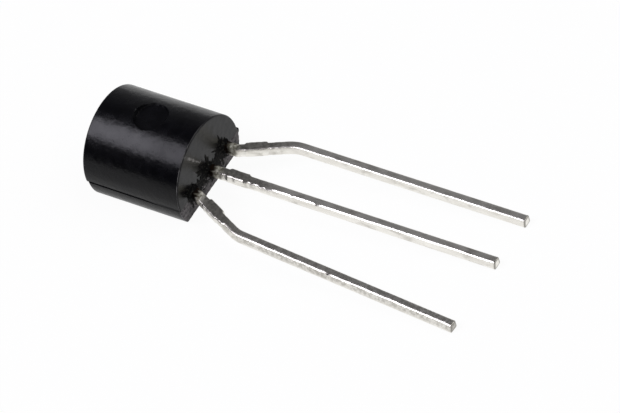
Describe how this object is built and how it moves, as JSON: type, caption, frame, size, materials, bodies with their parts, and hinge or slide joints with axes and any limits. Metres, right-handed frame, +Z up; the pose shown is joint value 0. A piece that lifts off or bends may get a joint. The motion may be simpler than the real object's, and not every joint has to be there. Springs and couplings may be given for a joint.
{
  "type": "to-92 transistor",
  "caption": "Small through-hole transistor: a black moulded half-round body with a flat face and a row of tinned leads, the outer ones spread, that switches or amplifies a current.",
  "frame": {"origin": "under the middle of the part's outline, on the surface that it lies on", "axes": "+X along the leads away from the body, +Y across the row towards the emitter lead, +Z up, with the part at rest on the lead end of its flat and on its lead tips"},
  "size_m": [0.0184, 0.0062, 0.0036],
  "materials": {
    "epoxy": "satin moulded",
    "tinned_lead": "satin tin plate",
    "die_attach": "matt",
    "silicon": "polished",
    "bond_wire": "drawn"
  },
  "bodies": {
    "root": {"moulded_body": "epoxy", "emitter_lead": "tinned_lead", "collector_lead": "tinned_lead", "base_lead": "tinned_lead", "die_attach": "die_attach", "silicon_die": "silicon", "emitter_wire": "bond_wire", "base_wire": "bond_wire"}
  },
  "joints": []
}
